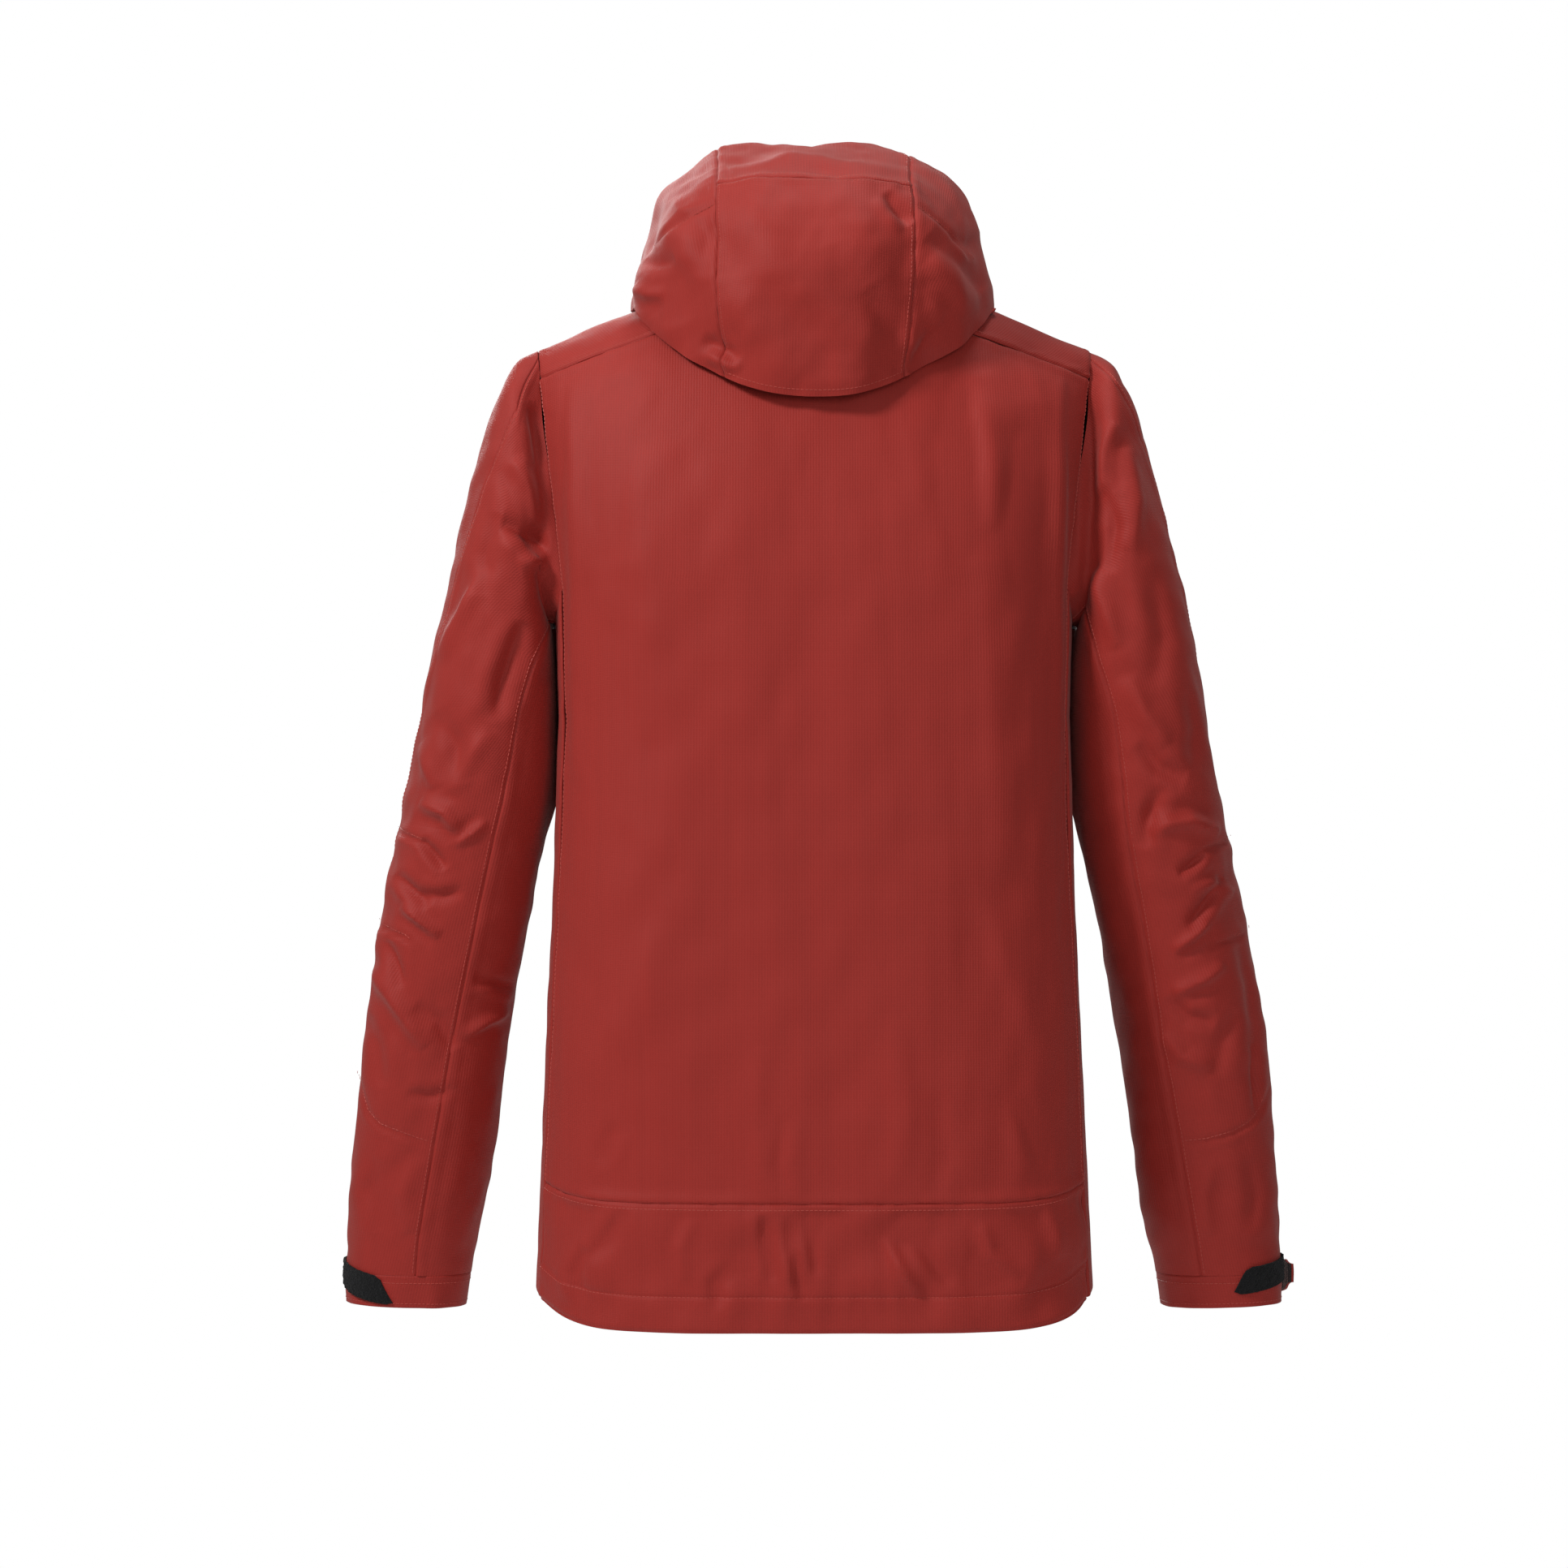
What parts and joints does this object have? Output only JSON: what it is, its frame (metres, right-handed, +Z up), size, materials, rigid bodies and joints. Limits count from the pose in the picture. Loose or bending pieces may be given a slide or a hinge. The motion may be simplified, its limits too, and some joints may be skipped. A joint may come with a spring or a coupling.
{
  "type": "hooded shell jacket",
  "caption": "Zipped hooded hardshell jacket with panelled hood, drop back hem, cuff tabs, hand pockets and a hanger loop; sleeves, zips, tabs and peak move.",
  "frame": {"origin": "middle of the underside of the hanger loop's flat crest, where a hook or peg bears", "axes": "+Z up, -Y towards the jacket's front, +X towards the wearer's left; the jacket hangs zipped with its sleeves down"},
  "size_m": [0.7226, 0.25, 0.8889],
  "materials": {
    "shell_cloth": "matt woven face cloth with a fine grid",
    "lining_cloth": "smooth dark knit backer",
    "fleece": "brushed soft pile",
    "loop_pile": "dense fuzzy loop pile",
    "elastic": "braided, matt",
    "webbing": "flat woven webbing",
    "zip_tape": "coated tape, low sheen",
    "black_plastic": "moulded, slightly rough",
    "zip_metal": "dark lacquered zinc, satin"
  },
  "bodies": {
    "jacket": {"back_panel": "shell_cloth", "back_hem_band": "shell_cloth", "collar": "shell_cloth", "hood_crown": "shell_cloth", "hood_back": "shell_cloth", "side_panel_left": "shell_cloth", "front_panel_left": "shell_cloth", "shoulder_yoke_left": "shell_cloth", "hood_side_left": "shell_cloth", "side_panel_right": "shell_cloth", "front_panel_right": "shell_cloth", "shoulder_yoke_right": "shell_cloth", "hood_side_right": "shell_cloth", "lining_back": "lining_cloth", "hem_facing": "lining_cloth", "storm_flap": "lining_cloth", "lining_front_left": "lining_cloth", "lining_side_left": "lining_cloth", "pocket_bag_left": "lining_cloth", "lining_front_right": "lining_cloth", "lining_side_right": "lining_cloth", "pocket_bag_right": "lining_cloth", "collar_lining": "fleece", "chin_guard": "fleece", "hem_elastic": "elastic", "hood_face_elastic": "elastic", "hanger_loop": "webbing", "main_zip_tape_left": "zip_tape", "pocket_zip_left": "zip_tape", "main_zip_coil_left": "black_plastic", "hem_cord_lock_left": "black_plastic", "main_zip_tape_right": "zip_tape", "pocket_zip_right": "zip_tape", "main_zip_coil_right": "black_plastic", "hem_cord_lock_right": "black_plastic", "main_zip_stop_box": "zip_metal"},
    "main_slider": {"main_zip_slider": "zip_metal"},
    "main_pull": {"main_zip_pull": "black_plastic"},
    "peak": {"hood_peak": "shell_cloth"},
    "upper_arm_left": {"upper_sleeve_left": "shell_cloth", "elbow_section_left": "shell_cloth"},
    "forearm_left": {"forearm_sleeve_left": "shell_cloth", "cuff_left": "shell_cloth", "cuff_patch_left": "loop_pile"},
    "tab_left": {"cuff_tab_left": "shell_cloth"},
    "pocket_slider_left": {"pocket_slider_left": "zip_metal"},
    "pocket_pull_left": {"pocket_pull_left": "black_plastic"},
    "cord_button_left": {"hem_cord_button_left": "black_plastic"},
    "upper_arm_right": {"upper_sleeve_right": "shell_cloth", "elbow_section_right": "shell_cloth"},
    "forearm_right": {"forearm_sleeve_right": "shell_cloth", "cuff_right": "shell_cloth", "cuff_patch_right": "loop_pile"},
    "tab_right": {"cuff_tab_right": "shell_cloth"},
    "pocket_slider_right": {"pocket_slider_right": "zip_metal"},
    "pocket_pull_right": {"pocket_pull_right": "black_plastic"},
    "cord_button_right": {"hem_cord_button_right": "black_plastic"}
  },
  "joints": [
    {"name": "shoulder_left", "type": "hinge", "parent": "jacket", "child": "upper_arm_left", "pos_m": [0.2094, -0.0524, -0.0449], "axis": [0, -1, 0], "range_deg": [0, 35]},
    {"name": "elbow_left", "type": "hinge", "parent": "upper_arm_left", "child": "forearm_left", "pos_m": [0.2645, -0.0684, -0.442], "axis": [-1, 0, 0], "range_deg": [0, 60], "deforming": ["elbow_section_left"]},
    {"name": "cuff_tab_left", "type": "hinge", "parent": "forearm_left", "child": "tab_left", "pos_m": [0.31, -0.1484, -0.7545], "axis": [0, 0, -1], "range_deg": [0, 70]},
    {"name": "shoulder_right", "type": "hinge", "parent": "jacket", "child": "upper_arm_right", "pos_m": [-0.2094, -0.0524, -0.0449], "axis": [0, 1, 0], "range_deg": [0, 35]},
    {"name": "elbow_right", "type": "hinge", "parent": "upper_arm_right", "child": "forearm_right", "pos_m": [-0.2645, -0.0684, -0.442], "axis": [-1, 0, 0], "range_deg": [0, 60], "deforming": ["elbow_section_right"]},
    {"name": "cuff_tab_right", "type": "hinge", "parent": "forearm_right", "child": "tab_right", "pos_m": [-0.31, -0.1484, -0.7545], "axis": [0, 0, 1], "range_deg": [0, 70]},
    {"name": "main_zip_slide", "type": "slide", "parent": "jacket", "child": "main_slider", "axis": [0, -0.0221, -0.9998], "range_m": [0, 0.7]},
    {"name": "main_pull_hinge", "type": "hinge", "parent": "main_slider", "child": "main_pull", "pos_m": [0, -0.14448, -0.0082], "axis": [-1, 0, 0], "range_deg": [0, 150]},
    {"name": "pocket_zip_slide_left", "type": "slide", "parent": "jacket", "child": "pocket_slider_left", "axis": [0, -0.0201, -0.9998], "range_m": [0, 0.136]},
    {"name": "pocket_pull_hinge_left", "type": "hinge", "parent": "pocket_slider_left", "child": "pocket_pull_left", "pos_m": [0.12298, -0.15, -0.4129], "axis": [-0.975, -0.2222, 0.0045], "range_deg": [0, 150]},
    {"name": "pocket_zip_slide_right", "type": "slide", "parent": "jacket", "child": "pocket_slider_right", "axis": [0, -0.0201, -0.9998], "range_m": [0, 0.136]},
    {"name": "pocket_pull_hinge_right", "type": "hinge", "parent": "pocket_slider_right", "child": "pocket_pull_right", "pos_m": [-0.12298, -0.15, -0.4129], "axis": [-0.975, 0.2222, -0.0045], "range_deg": [0, 150]},
    {"name": "cord_button_press_left", "type": "slide", "parent": "jacket", "child": "cord_button_left", "axis": [0, 0, -1], "range_m": [0, 0.003], "stiffness_N_per_m": 500},
    {"name": "cord_button_press_right", "type": "slide", "parent": "jacket", "child": "cord_button_right", "axis": [0, 0, -1], "range_m": [0, 0.003], "stiffness_N_per_m": 500},
    {"name": "hood_peak_fold", "type": "hinge", "parent": "jacket", "child": "peak", "pos_m": [0, -0.1484, 0.1085], "axis": [-1, 0, 0], "range_deg": [0, 25]}
  ]
}
